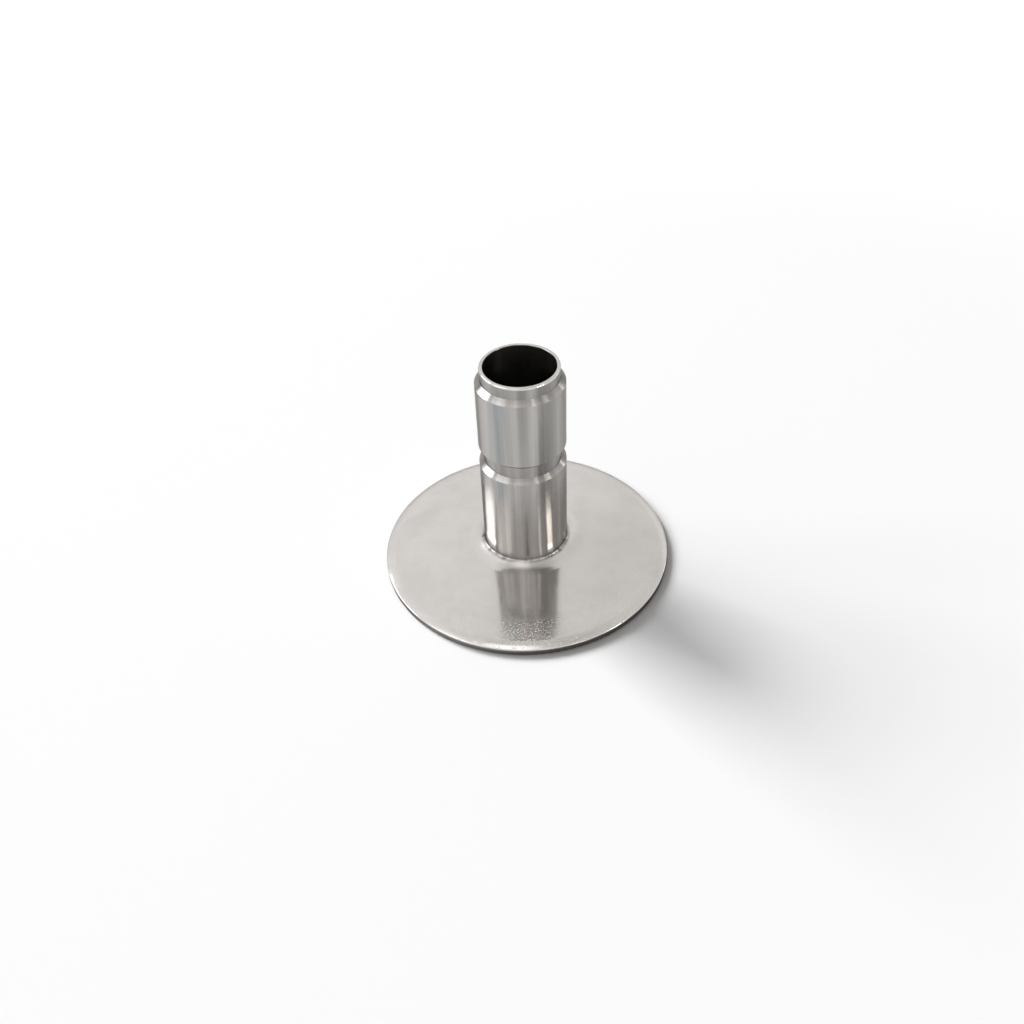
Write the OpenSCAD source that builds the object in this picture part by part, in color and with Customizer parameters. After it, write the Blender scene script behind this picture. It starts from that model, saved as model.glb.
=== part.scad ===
// Sanitary clamp quick disconnect adapter: a turned stainless plug on a clamp flange.
// Millimetres. The sealing face lies on z = 0 and the axis is +Z, towards the plug's nose.

/* [Clamp flange] */
// Diameter of the clamp flange
flange_d = 50.5; // [45:0.5:64]
// Thickness of the flange at its rim, measured before the edges are rounded
rim_t = 1.25; // [1:0.05:2.5]
// Slope of the flange's back, falling from the tube towards the rim
back_slope = 6.8; // [3:0.1:9]
// Slope that the back has reached at the rim, down from level
rim_slope = 30; // [18:1:45]
// Radius of the soft round that turns the back down to the rim
brow_round_r = 3.8; // [1:0.1:6]
// Radius of the round along the rim's upper edge
rim_round_r = 0.2; // [0.1:0.05:0.4]
// Radius of the round along the rim's lower edge
foot_round_r = 0.3; // [0.1:0.05:0.4]

/* [Gasket groove] */
// Distance from the rim to the middle of the gasket groove
gasket_inset = 3.5; // [3:0.1:8]
// Radius of the gasket groove's round section
gasket_groove_r = 2.3; // [1.9:0.1:2.4]
// Depth of the gasket groove below the sealing face
gasket_groove_depth = 1.2; // [0.8:0.05:1.3]

/* [Tube] */
// Outer diameter of the tube and of the plug's body
tube_d = 14.7; // [12:0.1:22]
// Thickness of the wall between the tube's outside and the straight flow bore
tube_wall_t = 1.45; // [1.3:0.05:3]
// Size of the chamfer where the bore opens in the sealing face
bore_foot_chamfer = 0.4; // [0.1:0.05:1]
// Length of the curved rise from the back of the flange to the tube
root_rise_l = 2.8; // [1.6:0.1:5]
// Slope that the rise has reached at the tube, up from level
root_rise_angle = 30; // [26:1:60]
// Radius of the fillet between the rise and the tube
root_fillet_r = 0.4; // [0.2:0.05:0.7]
// Height of the locking groove's lower edge above the sealing face
neck_h = 21.3; // [12:0.1:60]

/* [Locking groove] */
// Width of the locking groove at the tube's surface
lock_groove_w = 3.8; // [2.4:0.1:8]
// Depth of the locking groove
lock_groove_depth = 0.8; // [0.4:0.05:1.1]
// Slope of the locking groove's two sides, up from its floor
lock_side_angle = 45; // [40:1:75]

/* [Plug] */
// Length of the plug's body between the locking groove and the shoulder
body_l = 11.8; // [4:0.1:40]
// How far the shoulder steps in from the plug's body to its nose
shoulder_step = 0.85; // [0.2:0.05:1.05]
// Length of the nose above the shoulder
nose_l = 2.1; // [0.8:0.1:10]
// Slope of the shoulder between the body and the nose, up from level
shoulder_angle = 45; // [20:1:70]
// Radius of the round on the outside of the nose's lip
lip_outer_r = 0.25; // [0.05:0.05:0.3]
// Radius of the round on the inside of the nose's lip
lip_inner_r = 0.1; // [0.05:0.05:0.25]

/* [Hidden] */
$fn = 128;

// How far a cutting shape runs past the face that it cuts
over = 0.4;

// How much larger a rounding circle is drawn, so that it crosses the edges that it touches
snug = 0.00005;

flange_r = flange_d / 2;
tube_r = tube_d / 2;
bore_r = tube_r - tube_wall_t;
nose_r = tube_r - shoulder_step;

// Middle of the gasket groove's circular section, below the sealing face
gasket_mid_r = flange_r - gasket_inset;
gasket_mid_z = gasket_groove_depth - gasket_groove_r;

// Locking groove, from its lower edge up
lock_floor_r = tube_r - lock_groove_depth;
lock_side_h = lock_groove_depth / tan(lock_side_angle);
lock_top_z = neck_h + lock_groove_w;

// Plug above the locking groove
shoulder_low_z = lock_top_z + body_l;
shoulder_top_z = shoulder_low_z + shoulder_step * tan(shoulder_angle);
lip_z = shoulder_top_z + nose_l;

// Unit vector at an angle, in the plane of the turned section
function toward(a) = [cos(a), sin(a)];

// An arc that rounds a corner touches both of its edges. The edges leave the corner at
// angles a and b. These are the arc's centre and the length of edge that it takes up.
function arc_mid(corner, a, b, r) = corner + toward((a + b) / 2) * r / sin((b - a) / 2);
function arc_reach(a, b, r) = r / tan((b - a) / 2);

// Where the sloped back would meet the slope at the rim without the soft round between them
brow = [flange_r, rim_t] + toward(180 - rim_slope) * (
    arc_reach(180 - rim_slope, 270, rim_round_r)
    + arc_reach(180 - back_slope, 360 - rim_slope, brow_round_r));

// Curved rise between the flange's back and the tube, from its outer end and its centre
rise_start = brow[0] - tube_r - root_rise_l;
rise_end = [tube_r + root_rise_l, brow[1] + rise_start * tan(back_slope)];
rise_r = root_rise_l / (sin(root_rise_angle) - sin(back_slope));
rise_mid = rise_end + toward(90 - back_slope) * rise_r;

// Fillet that touches the rise and the tube, and the point where it touches the rise
fillet_in = rise_mid[0] - tube_r - root_fillet_r;
fillet_down = sqrt(pow(rise_r - root_fillet_r, 2) - pow(fillet_in, 2));
fillet_mid = rise_mid - [fillet_in, fillet_down];
fillet_end = rise_mid + (fillet_mid - rise_mid) * rise_r / (rise_r - root_fillet_r);

// Everything outside the arc that rounds a corner, as a shape to cut away
module corner_waste(corner, a, b, r) {
    mid = arc_mid(corner, a, b, r);
    end_a = corner + toward(a) * arc_reach(a, b, r);
    end_b = corner + toward(b) * arc_reach(a, b, r);
    difference() {
        polygon([
            mid,
            end_a,
            end_a - toward(a + 90) * over,
            corner - toward((a + b) / 2) * over / sin((b - a) / 2),
            end_b + toward(b + 90) * over,
            end_b
        ]);
        translate(mid) circle(r = r + snug);
    }
}

// Outline of the turned section with sharp edges, and stock for the rise at the root
module sharp_section() {
    polygon([
        [bore_r, 0],
        [flange_r, 0],
        [flange_r, rim_t],
        brow,
        rise_end,
        fillet_mid,
        [tube_r, fillet_mid[1]],
        [tube_r, neck_h],
        [lock_floor_r, neck_h + lock_side_h],
        [lock_floor_r, lock_top_z - lock_side_h],
        [tube_r, lock_top_z],
        [tube_r, shoulder_low_z],
        [nose_r, shoulder_top_z],
        [nose_r, lip_z],
        [bore_r, lip_z]
    ]);
}

// Tools that leave the rise from the flange's back and its fillet against the tube. The
// first one runs on past the rise's outer end, where it only touches the sloped back.
module root_rise() {
    intersection() {
        translate(rise_mid) circle(r = rise_r + snug);
        polygon([
            rise_mid,
            rise_mid + (fillet_end - rise_mid) * 1.5,
            rise_mid + toward(280) * rise_r * 1.5
        ]);
    }
    translate(fillet_mid) circle(r = root_fillet_r + 2 * snug);
}

// Rounds on the flange's back, on the rim's two edges and on both sides of the lip
module edge_rounds() {
    corner_waste(brow, 180 - back_slope, 360 - rim_slope, brow_round_r);
    corner_waste([flange_r, rim_t], 180 - rim_slope, 270, rim_round_r);
    corner_waste([flange_r, 0], 90, 180, foot_round_r);
    corner_waste([nose_r, lip_z], 180, 270, lip_outer_r);
    corner_waste([bore_r, lip_z], 270, 360, lip_inner_r);
}

// Round-bottomed groove in the sealing face that seats the clamp gasket
module gasket_groove() {
    translate([gasket_mid_r, gasket_mid_z]) circle(r = gasket_groove_r);
}

// Chamfer where the flow bore opens in the sealing face
module bore_foot() {
    polygon([
        [bore_r - over, -over],
        [bore_r + bore_foot_chamfer + over, -over],
        [bore_r - over, bore_foot_chamfer + over]
    ]);
}

module turned_section() {
    difference() {
        sharp_section();
        root_rise();
        edge_rounds();
        gasket_groove();
        bore_foot();
    }
}

// Flange, tube and plug, turned as one piece with the bore straight through
module adapter_body() {
    color("silver") rotate_extrude() turned_section();
}

adapter_body();
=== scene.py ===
import math

import bmesh
import bpy
from mathutils import Matrix, Vector

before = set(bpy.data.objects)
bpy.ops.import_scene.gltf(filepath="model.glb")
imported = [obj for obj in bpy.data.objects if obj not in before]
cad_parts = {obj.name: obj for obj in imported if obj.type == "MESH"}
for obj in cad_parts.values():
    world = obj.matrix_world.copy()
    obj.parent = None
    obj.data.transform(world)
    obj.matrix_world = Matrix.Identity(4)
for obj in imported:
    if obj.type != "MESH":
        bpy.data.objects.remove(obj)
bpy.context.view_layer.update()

# Sizes of the adapter, in metres, as in the part's source
TUBE_R = 0.00735
BORE_R = 0.0059
RIM_R = 0.02525
RIM_TOP_Z = 0.00125
LIP_Z = 0.03985

# Camera, from the photograph's outlines: place in metres, angles in radians, lens in millimetres
CAMERA_AT = (0.0, -0.13918, 0.1325)
CAMERA_YAW = -0.0165
CAMERA_PITCH = 0.725
CAMERA_ROLL = 0.0494
LENS_MM = 37.125
SENSOR_MM = 36.0

# Colours of the steel. The cool one is a painted reflection, a faint stripe up the plug, and the
# root marks are what welding or turning left where the tube meets the flange.
FLANGE_STEEL = (0.665, 0.643, 0.627)
# The tube's colour is darker than the flange's as painted shade, for the dimmer surroundings that
# the tube mirrors.
TUBE_STEEL = (0.385, 0.372, 0.36)
COOL_REFLECTION_STEEL = (0.355, 0.366, 0.367)
# The rim's colour is painted shade on the low rim wall.
RIM_SHADE_STEEL = (0.21, 0.202, 0.19)
# The bore's colour is painted shade, darkening the steel down the unlit bore.
BORE_SHADE_STEEL = (0.3, 0.29, 0.28)
ROOT_MARK_STEEL = (0.17, 0.163, 0.156)
# How much of the steel's reflection is left towards its outlines
OUTLINE_TINT = (0.55, 0.54, 0.53)
# How much painted shade darkens the steel where the tube steps in, at the groove and the nose
STEP_SHADE = 0.83
# How far the streaks along the tube, partly polish marks and partly painted reflection, and the
# wiping marks on the flange change the colour
STREAK_DEPTH = 0.36
WIPE_DEPTH = 0.04

# The cool stripe, a painted reflection: the azimuth that its middle faces, and the angles from
# there over which it fades in, in degrees
COOL_FACING = -31.0
COOL_ANGLES = (12.0, 6.0)

# Roughness of the steel, how much rougher the curve at the tube's foot is, and how far an
# uneven polish lowers and raises it
FLANGE_ROUGHNESS = 0.1
TUBE_ROUGHNESS = 0.2
ROOT_SOFTNESS = 0.14
ROUGHNESS_SPREAD = (-0.015, 0.02)
# Stretch of the reflections along the tube, and its direction as a share of a full turn
STRETCH = 0.9
STRETCH_TURN = 0.25

# Radii and heights between which one finish fades into the next, in metres
TUBE_EDGE_R = (TUBE_R + 0.0008, TUBE_R + 0.0001)
BORE_EDGE_R = (BORE_R + 0.00008, BORE_R + 0.00002)
RIM_EDGE_R = (RIM_R - 0.00025, RIM_R - 0.00005)
RIM_EDGE_Z = (RIM_TOP_Z, RIM_TOP_Z - 0.0004)
LIP_EDGE_Z = (LIP_Z - 0.00025, LIP_Z - 0.0004)
STEP_EDGE_R = (TUBE_R - 0.0001, TUBE_R - 0.0007)
COOL_EDGE_R = (TUBE_R - 0.0002, TUBE_R - 0.00005)
COOL_EDGE_Z = (0.0165, 0.0195)
ROOT_MARK_Z = (0.0053, 0.0043)
SOFT_ROOT_R = (0.0094, TUBE_R + 0.0008)
GRAIN_EDGE_R = (0.0185, 0.0215)
SPECK_EDGE_R = (0.0185, 0.022)

# Noise patterns of the surface: scale per metre, detail and roughness
STREAK_NOISE = (260.0, 4.0, 0.6)
WIPE_NOISE = (140.0, 4.0, 0.6)
ROOT_MARK_NOISE = (500.0, 2.0, 0.5)
RING_NOISE = (9000.0, 3.0, 0.5)
RIPPLE_NOISE = (3200.0, 1.0, 0.5)
GRAIN_NOISE = (3800.0, 2.0, 0.7)
SPECK_NOISE = (5200.0, 1.0, 0.5)
# Values of the noise between which streaks and wiping marks, root marks and specks show
NOISE_MIDDLE = (0.3, 0.7)
ROOT_MARK_RANGE = (0.52, 0.66)
SPECK_RANGE = (0.6, 0.75)
# How much the streaks change along the tube, as a share of the height, and which streaks show
STREAK_CLIMB = 0.02
STREAK_SHIFT = 0.05
# Heights of the surface texture, in metres
RING_HEIGHT = 0.0000008
RIPPLE_HEIGHT = 0.0000008
GRAIN_HEIGHT = 0.0000045
SPECK_HEIGHT = 0.000042

# Paper floor: colour, and half its width in metres
FLOOR_PAPER = (0.95, 0.952, 0.955)
FLOOR_HALF = 3.0
# Distances from the axis between which the floor turns to white for the camera, in metres
FLOOR_FADE = (0.12, 0.8)

# Brightness and tint of the studio room, as the steel mirrors it
ROOM_LEFT = (1.0, 0.99, 0.98)
ROOM_RIGHT = (0.76, 0.748, 0.725)
ROOM_ABOVE = 0.8
ROOM_FRONT = 1.05
ROOM_HORIZON = 0.8
# Parts of a level or upright unit vector between which the room changes
ROOM_RIGHT_X = (-0.5, 0.5)
ROOM_RIGHT_Z = (0.42, 0.66)
ROOM_ABOVE_Z = (0.85, 0.97)
ROOM_FRONT_Y = (0.1, -0.3)
ROOM_HORIZON_Z = (0.0, 0.42)
# Soft glows in the room: name, azimuth and elevation, inner and outer angle, extra brightness
ROOM_GLOWS = (
    ("front_left", -58, 27, 10, 24, 1.25),
    ("front_gap_low", 3, 21, 1, 6, -0.95),
    ("front_gap_high", 3, 31, 1, 6, -0.95),
    ("high_left", -72, 52, 5, 18, 0.6),
    ("high_front", 0, 62, 8, 18, 0.5),
    ("overhead", -42, 79, 2, 14, 1.0),
)
# Light from the room on the floor: the side that it comes from, as azimuth and elevation, its
# strength away from that side and on it, and the cosines between which it changes
LIT_FROM = (-130, 40)
ROOM_LIGHT = (0.0, 0.5)
ROOM_LIGHT_COSINES = (-0.5, 0.9)

# Lamps: name, azimuth and elevation, width and height in degrees, brightness, colour, and the
# kind of ray that doesn't see the lamp
WHITE = (1.0, 1.0, 1.0)
LAMPS = (
    ("key_back_left", -107, 25, 36, 13, 6.2, (0.955, 0.98, 1.0), None),
    ("shadow_key", -134, 35, 17, 24, 23.0, WHITE, "visible_glossy"),
    ("shadow_side", -117, 27, 14, 14, 11.0, WHITE, "visible_glossy"),
    ("warm_strip", 65, 24.5, 13, 12, 10.0, (1.0, 0.96, 0.89), "visible_diffuse"),
    ("bright_line", 37, 34, 3, 46, 1.6, WHITE, "visible_diffuse"),
    ("right_patch", 120, 13.5, 8, 8, 2.2, WHITE, "visible_diffuse"),
)
# How far the lamps stand from the point that they aim at, and that point's height, in metres
LAMP_AWAY = 8.0
LAMP_AIM_Z = 0.015


def from_camera_side(azimuth, elevation):
    """Unit vector. Azimuth 0 points to the camera's side and 90 to the right of the view."""
    a = math.radians(azimuth)
    e = math.radians(elevation)
    return Vector((math.sin(a) * math.cos(e), -math.cos(a) * math.cos(e), math.sin(e)))


# Node helpers. An input is a number or a colour, or the output socket of another node.

def new_node(tree, kind, place, **settings):
    """A node of that kind at a place in the editor, with its settings."""
    node = tree.nodes.new(kind)
    node.location = place
    for name, value in settings.items():
        setattr(node, name, value)
    return node


def fill(tree, socket, value):
    """Link an output socket to an input, or set the input to a number or a colour."""
    if isinstance(value, bpy.types.NodeSocket):
        tree.links.new(value, socket)
    else:
        socket.default_value = value


def number(tree, operation, place, *inputs):
    """The result of a Math node."""
    node = new_node(tree, "ShaderNodeMath", place, operation=operation)
    for slot, value in zip(node.inputs, inputs):
        fill(tree, slot, value)
    return node.outputs[0]


def vector(tree, operation, place, *inputs):
    """A Vector Math node. Its result is the output Vector, or Value for a length or a product."""
    node = new_node(tree, "ShaderNodeVectorMath", place, operation=operation)
    for slot, value in zip(node.inputs, inputs):
        fill(tree, slot, value)
    return node


def fade(tree, value, span, place, low=0.0, high=1.0):
    """A smooth change from low to high as value goes over a span from its start to its end."""
    node = new_node(tree, "ShaderNodeMapRange", place, interpolation_type="SMOOTHSTEP")
    tree.links.new(value, node.inputs["Value"])
    node.inputs["From Min"].default_value = span[0]
    node.inputs["From Max"].default_value = span[1]
    node.inputs["To Min"].default_value = low
    node.inputs["To Max"].default_value = high
    return node.outputs["Result"]


def mix_number(tree, factor, first, second, place):
    """A mix of two numbers, each from an output socket."""
    node = new_node(tree, "ShaderNodeMix", place, data_type="FLOAT")
    tree.links.new(factor, node.inputs["Factor"])
    tree.links.new(first, node.inputs[2])
    tree.links.new(second, node.inputs[3])
    return node.outputs[0]


def mix_colour(tree, factor, first, second, place):
    """A mix of two colours."""
    node = new_node(tree, "ShaderNodeMix", place, data_type="RGBA")
    tree.links.new(factor, node.inputs["Factor"])
    for socket, value in ((node.inputs[6], first), (node.inputs[7], second)):
        if not isinstance(value, bpy.types.NodeSocket):
            value = (*value, 1.0)
        fill(tree, socket, value)
    return node.outputs[2]


def scaled_colour(tree, colour, level, place):
    """A colour of three numbers, brightened or darkened by an output socket."""
    node = vector(tree, "SCALE", place, colour)
    tree.links.new(level, node.inputs["Scale"])
    return node.outputs["Vector"]


def noise(tree, place_vector, pattern, place):
    """The value of a noise texture over a vector. The pattern is its scale, detail and roughness."""
    node = new_node(tree, "ShaderNodeTexNoise", place)
    tree.links.new(place_vector, node.inputs["Vector"])
    for name, value in zip(("Scale", "Detail", "Roughness"), pattern):
        node.inputs[name].default_value = value
    return node.outputs["Fac"]


def near_direction(tree, direction, azimuth, elevation, angles, place, high=1.0):
    """A fade from 0 to high as a direction nears another one, over angles given in degrees."""
    aim = vector(tree, "DOT_PRODUCT", place, direction, from_camera_side(azimuth, elevation))
    span = [math.cos(math.radians(angle)) for angle in angles]
    return fade(tree, aim.outputs["Value"], span, (place[0] + 200, place[1]), 0.0, high)


# Steel of the adapter

def surface_places(tree):
    """Place on the part, its level part, the distance from the axis, and the height."""
    place = new_node(tree, "ShaderNodeTexCoord", (-1800, 0)).outputs["Object"]
    axes = new_node(tree, "ShaderNodeSeparateXYZ", (-1600, 0))
    tree.links.new(place, axes.inputs[0])
    level = new_node(tree, "ShaderNodeCombineXYZ", (-1400, 100))
    tree.links.new(axes.outputs["X"], level.inputs["X"])
    tree.links.new(axes.outputs["Y"], level.inputs["Y"])
    radius = vector(tree, "LENGTH", (-1200, 100), level.outputs[0]).outputs["Value"]
    return place, level.outputs[0], radius, axes.outputs["Z"]


def tube_steel(tree, level, radius, height):
    """Colour of the tube: streaks that run straight up over its steps, partly polish marks and
    partly painted reflection, painted shade where it steps in, and the cool stripe, a painted
    reflection.
    """
    facing = vector(tree, "NORMALIZE", (-1400, 500), level).outputs[0]
    around = vector(tree, "SCALE", (-1250, 500), facing)
    around.inputs["Scale"].default_value = TUBE_R
    climb = number(tree, "MULTIPLY_ADD", (-1400, 700), height, STREAK_CLIMB, STREAK_SHIFT)
    upward = new_node(tree, "ShaderNodeCombineXYZ", (-1250, 700))
    tree.links.new(climb, upward.inputs["Z"])
    along = vector(tree, "ADD", (-1100, 700), around.outputs[0], upward.outputs[0]).outputs[0]
    # The streaks are partly polish marks and partly painted reflection of the surroundings.
    streaks = noise(tree, along, STREAK_NOISE, (-1100, 500))
    streaks = fade(tree, streaks, NOISE_MIDDLE, (-900, 500), 1.0 - STREAK_DEPTH, 1.0 + STREAK_DEPTH)
    # Painted shade: darker where the tube steps in, at the groove and the nose.
    step_shade_level = fade(tree, radius, STEP_EDGE_R, (-1000, 600), 1.0, STEP_SHADE)
    level_of_tube = number(tree, "MULTIPLY", (-850, 600), streaks, step_shade_level)

    # The cool stripe is painted reflection, fixed on one side of the tube.
    cool = near_direction(tree, facing, COOL_FACING, 0.0, COOL_ANGLES, (-1100, 1300))
    cool_height = fade(tree, height, COOL_EDGE_Z, (-900, 1500))
    cool_radius = fade(tree, radius, COOL_EDGE_R, (-900, 1700))
    cool = number(tree, "MULTIPLY", (-800, 1400), cool, cool_height)
    cool = number(tree, "MULTIPLY", (-650, 1400), cool, cool_radius)
    # The tube's darker colour is painted shade.
    plain_tube = scaled_colour(tree, TUBE_STEEL, level_of_tube, (-900, 500))
    cool_reflection_tube = scaled_colour(tree, COOL_REFLECTION_STEEL, level_of_tube, (-900, 300))
    return mix_colour(tree, cool, plain_tube, cool_reflection_tube, (-750, 500))


def steel_colour(tree, places, on_tube, smudges):
    """Colour of the whole part: flange, lip, tube, marks at its foot, and painted shade on the rim
    and in the bore.
    """
    place, level, radius, height = places
    wipe_level = fade(tree, smudges, NOISE_MIDDLE, (-900, 700), 1.0 - WIPE_DEPTH, 1.0 + WIPE_DEPTH)
    flange_colour = scaled_colour(tree, FLANGE_STEEL, wipe_level, (-750, 700))
    tube_colour = tube_steel(tree, level, radius, height)
    below_lip = fade(tree, height, LIP_EDGE_Z, (-1000, 400))
    below_lip = number(tree, "MULTIPLY", (-800, 350), on_tube, below_lip)
    colour = mix_colour(tree, below_lip, flange_colour, tube_colour, (-600, 300))

    near_root = fade(tree, height, ROOT_MARK_Z, (-1000, 900))
    root_marks = noise(tree, place, ROOT_MARK_NOISE, (-1200, 900))
    root_marks = fade(tree, root_marks, ROOT_MARK_RANGE, (-1000, 1100))
    root_marks = number(tree, "MULTIPLY", (-800, 900), root_marks, near_root)
    root_marks = number(tree, "MULTIPLY", (-650, 900), root_marks, on_tube)
    colour = mix_colour(tree, root_marks, colour, ROOT_MARK_STEEL, (-550, 600))

    # Painted shade: the low rim wall turns to the rim's dark colour.
    far_out = fade(tree, radius, RIM_EDGE_R, (-1000, -150))
    low = fade(tree, height, RIM_EDGE_Z, (-1000, -300))
    on_rim = number(tree, "MULTIPLY", (-800, -150), far_out, low)
    colour = mix_colour(tree, on_rim, colour, RIM_SHADE_STEEL, (-500, 450))
    # Painted shade down the bore: the steel turns to the bore's dark colour.
    in_bore = fade(tree, radius, BORE_EDGE_R, (-1000, 0))
    return mix_colour(tree, in_bore, colour, BORE_SHADE_STEEL, (-400, 300))


def steel_roughness(tree, radius, on_tube, off_tube, smudges):
    """Roughness: a smooth flange, a softer tube and foot, and an uneven polish."""
    plain = fade(tree, on_tube, (0.0, 1.0), (-800, 0), FLANGE_ROUGHNESS, TUBE_ROUGHNESS)
    soft_root = fade(tree, radius, SOFT_ROOT_R, (-800, -400), 0.0, ROOT_SOFTNESS)
    soft_root = number(tree, "MULTIPLY", (-650, -400), soft_root, off_tube)
    uneven = fade(tree, smudges, NOISE_MIDDLE, (-800, -200), *ROUGHNESS_SPREAD)
    plain = number(tree, "ADD", (-650, 0), plain, soft_root)
    return number(tree, "ADD", (-500, 0), plain, uneven)


def steel_texture(tree, place, radius, height, off_tube):
    """Height of the surface: turning rings, a faint ripple, and grain and specks near the rim."""
    along = new_node(tree, "ShaderNodeCombineXYZ", (-1400, -300))
    tree.links.new(height, along.inputs["Z"])
    tree.links.new(radius, along.inputs["X"])
    rings = noise(tree, along.outputs[0], RING_NOISE, (-1200, -300))
    texture = number(tree, "MULTIPLY", (-800, -350), rings, RING_HEIGHT)

    ripple = noise(tree, place, RIPPLE_NOISE, (-1200, -800))
    grain = noise(tree, place, GRAIN_NOISE, (-1200, -1050))
    near_rim = fade(tree, radius, GRAIN_EDGE_R, (-1000, -1150))
    specks = noise(tree, place, SPECK_NOISE, (-1200, -1300))
    specks = fade(tree, specks, SPECK_RANGE, (-1000, -1300))
    speck_zone = fade(tree, radius, SPECK_EDGE_R, (-1000, -1500))
    layers = (
        (ripple, RIPPLE_HEIGHT, off_tube),
        (grain, GRAIN_HEIGHT, near_rim),
        (specks, SPECK_HEIGHT, speck_zone),
    )
    for row, (pattern, tall, zone) in enumerate(layers):
        part = number(tree, "MULTIPLY", (-800, -700 - 250 * row), pattern, tall)
        part = number(tree, "MULTIPLY", (-650, -700 - 250 * row), part, zone)
        texture = number(tree, "ADD", (-500, -400 - 250 * row), texture, part)
    return texture


def turned_steel():
    """Stainless steel: a polished flange, a turned tube and a bore, both darkened by painted shade,
    by radius and height.
    """
    material = bpy.data.materials.new("turned_stainless")
    material.use_nodes = True
    tree = material.node_tree
    links = tree.links
    shader = tree.nodes["Principled BSDF"]
    shader.inputs["Metallic"].default_value = 1.0
    shader.inputs["Anisotropic"].default_value = STRETCH
    shader.inputs["Anisotropic Rotation"].default_value = STRETCH_TURN
    shader.inputs["Specular Tint"].default_value = (*OUTLINE_TINT, 1.0)
    tangent = new_node(tree, "ShaderNodeTangent", (-300, -500), direction_type="RADIAL", axis="Z")
    links.new(tangent.outputs["Tangent"], shader.inputs["Tangent"])

    places = surface_places(tree)
    place, level, radius, height = places
    on_tube = fade(tree, radius, TUBE_EDGE_R, (-1000, 200))
    off_tube = number(tree, "SUBTRACT", (-800, -500), 1.0, on_tube)
    smudges = noise(tree, place, WIPE_NOISE, (-1200, -550))
    links.new(steel_colour(tree, places, on_tube, smudges), shader.inputs["Base Color"])
    roughness = steel_roughness(tree, radius, on_tube, off_tube, smudges)
    links.new(roughness, shader.inputs["Roughness"])

    bump = new_node(tree, "ShaderNodeBump", (-300, -300))
    bump.inputs["Strength"].default_value = 1.0
    bump.inputs["Distance"].default_value = 1.0
    links.new(steel_texture(tree, place, radius, height, off_tube), bump.inputs["Height"])
    links.new(bump.outputs["Normal"], shader.inputs["Normal"])
    return material


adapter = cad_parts["adapter_body"]
steel = turned_steel()
for slot in adapter.material_slots:
    slot.material = steel


# Studio floor, lamps and world

def studio_floor():
    """A pale floor. Far from the object it turns to the background's white for the camera."""
    mesh = bpy.data.meshes.new("studio_floor")
    shape = bmesh.new()
    bmesh.ops.create_grid(shape, x_segments=1, y_segments=1, size=FLOOR_HALF)
    shape.to_mesh(mesh)
    shape.free()
    floor = bpy.data.objects.new("studio_floor", mesh)
    bpy.context.scene.collection.objects.link(floor)
    material = bpy.data.materials.new("floor_paper")
    material.use_nodes = True
    tree = material.node_tree
    shader = tree.nodes["Principled BSDF"]
    shader.inputs["Base Color"].default_value = (*FLOOR_PAPER, 1.0)
    shader.inputs["Roughness"].default_value = 1.0
    shader.inputs["Specular IOR Level"].default_value = 0.0
    place = new_node(tree, "ShaderNodeTexCoord", (-1000, -300)).outputs["Object"]
    away = vector(tree, "LENGTH", (-800, -300), place).outputs["Value"]
    far = fade(tree, away, FLOOR_FADE, (-600, -300))
    path = new_node(tree, "ShaderNodeLightPath", (-800, -600))
    glow = number(tree, "MULTIPLY", (-400, -300), far, path.outputs["Is Camera Ray"])
    tree.links.new(scaled_colour(tree, WHITE, glow, (-200, -300)), shader.inputs["Emission Color"])
    shader.inputs["Emission Strength"].default_value = 1.0
    material.cycles.emission_sampling = "NONE"
    mesh.materials.append(material)


def softbox(name, azimuth, elevation, wide, high, radiance, colour, unseen_by):
    """A rectangular lamp aimed at the tube. wide and high are the angles it spans, in degrees."""
    lamp = bpy.data.lights.new(name, "AREA")
    lamp.shape = "RECTANGLE"
    lamp.size = 2.0 * LAMP_AWAY * math.tan(math.radians(wide) / 2.0)
    lamp.size_y = 2.0 * LAMP_AWAY * math.tan(math.radians(high) / 2.0)
    lamp.energy = radiance * math.pi * lamp.size * lamp.size_y
    lamp.color = colour
    box = bpy.data.objects.new(name, lamp)
    bpy.context.scene.collection.objects.link(box)
    towards = from_camera_side(azimuth, elevation)
    box.location = Vector((0.0, 0.0, LAMP_AIM_Z)) + towards * LAMP_AWAY
    box.rotation_euler = towards.to_track_quat("Z", "Y").to_euler()
    box.visible_camera = False
    if unseen_by:
        setattr(box, unseen_by, False)


def room_level(tree, direction, axes):
    """Brightness of the room as the steel mirrors it: dim above and low down, with the glows."""
    above = fade(tree, axes.outputs["Z"], ROOM_ABOVE_Z, (-800, -200), 1.0, ROOM_ABOVE)
    front = fade(tree, axes.outputs["Y"], ROOM_FRONT_Y, (-800, -400), 1.0, ROOM_FRONT)
    horizon = fade(tree, axes.outputs["Z"], ROOM_HORIZON_Z, (-800, -600), ROOM_HORIZON, 1.0)
    level = number(tree, "MULTIPLY", (-600, -300), above, front)
    level = number(tree, "MULTIPLY", (-600, -500), level, horizon)
    for row, (name, azimuth, elevation, inner, outer, extra) in enumerate(ROOM_GLOWS):
        place = (-1100, -800 - 250 * row)
        glow = near_direction(tree, direction, azimuth, elevation, (outer, inner), place, extra)
        glow.node.label = name
        level = number(tree, "ADD", (-400 + 150 * row, -500), level, glow)
    return level


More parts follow.
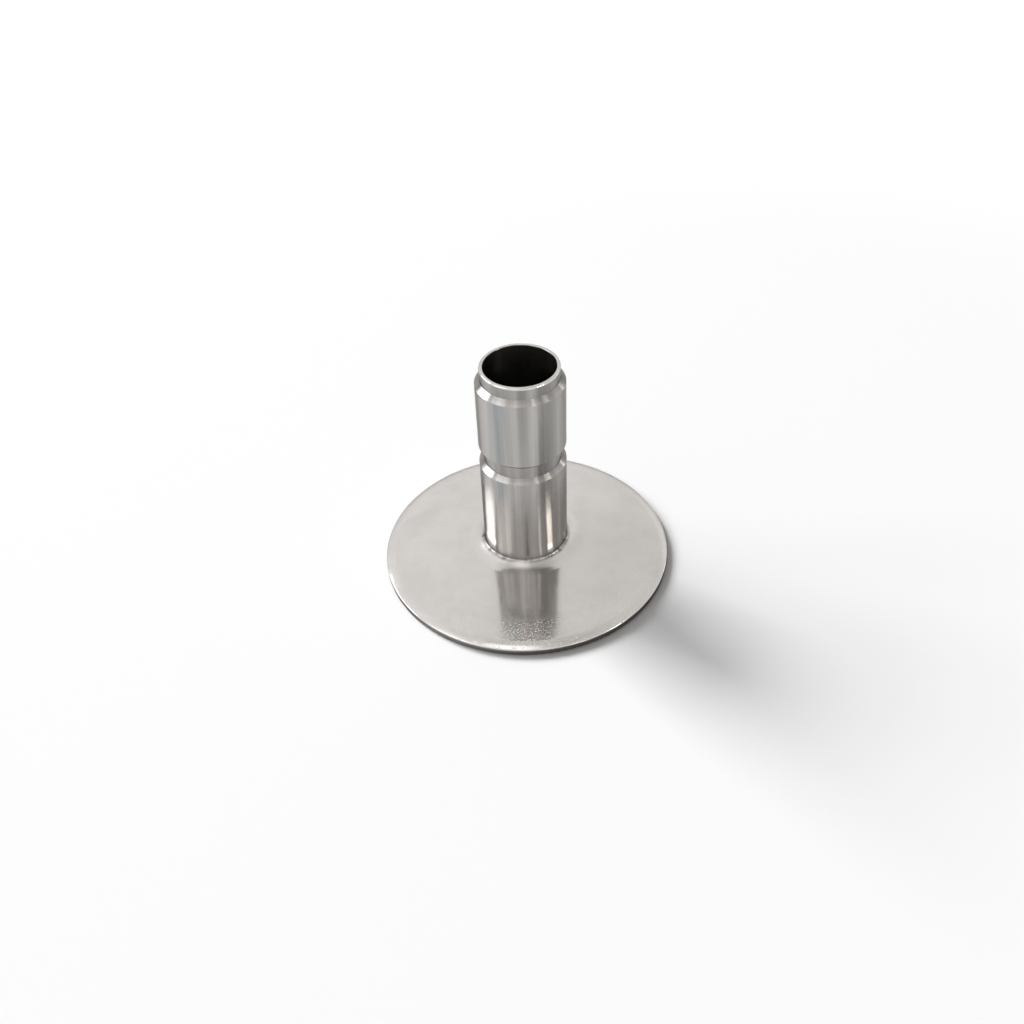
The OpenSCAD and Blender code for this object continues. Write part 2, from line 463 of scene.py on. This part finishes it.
def studio_world():
    """A pale room that the steel mirrors, a dimmer light on the floor, and white for the camera."""
    world = bpy.data.worlds.new("studio")
    bpy.context.scene.world = world
    world.use_nodes = True
    tree = world.node_tree
    background = tree.nodes["Background"]
    path = new_node(tree, "ShaderNodeLightPath", (-600, 400))
    seen = path.outputs["Is Camera Ray"]
    direction = new_node(tree, "ShaderNodeTexCoord", (-1300, 0)).outputs["Generated"]
    axes = new_node(tree, "ShaderNodeSeparateXYZ", (-1100, 0))
    tree.links.new(direction, axes.inputs[0])

    right = fade(tree, axes.outputs["X"], ROOM_RIGHT_X, (-800, 0))
    raised = fade(tree, axes.outputs["Z"], ROOM_RIGHT_Z, (-800, 200))
    right = number(tree, "MULTIPLY", (-600, 100), right, raised)
    colour = mix_colour(tree, right, ROOM_LEFT, ROOM_RIGHT, (-400, 0))
    colour = mix_colour(tree, seen, colour, WHITE, (300, 0))

    side = vector(tree, "DOT_PRODUCT", (-800, 700), direction, from_camera_side(*LIT_FROM))
    light = fade(tree, side.outputs["Value"], ROOM_LIGHT_COSINES, (-600, 700), *ROOM_LIGHT)
    level = room_level(tree, direction, axes)
    level = mix_number(tree, path.outputs["Is Glossy Ray"], light, level, (600, -300))
    level = number(tree, "MAXIMUM", (750, -300), level, seen)
    tree.links.new(colour, background.inputs["Color"])
    tree.links.new(level, background.inputs["Strength"])


studio_floor()
studio_world()
for lamp_row in LAMPS:
    softbox(*lamp_row)


# Camera

def photograph_camera():
    """The photograph's camera: its place, its turn and its lens, with no shift."""
    data = bpy.data.cameras.new("photograph_camera")
    data.sensor_width = SENSOR_MM
    data.lens = LENS_MM
    camera = bpy.data.objects.new("photograph_camera", data)
    bpy.context.scene.collection.objects.link(camera)
    turn = Matrix.Rotation(-CAMERA_YAW, 4, "Z")
    tilt = Matrix.Rotation(math.pi / 2.0 - CAMERA_PITCH, 4, "X")
    roll = Matrix.Rotation(-CAMERA_ROLL, 4, "Z")
    camera.matrix_world = Matrix.Translation(CAMERA_AT) @ turn @ tilt @ roll
    bpy.context.scene.camera = camera


photograph_camera()
bpy.context.scene.view_settings.view_transform = "Standard"
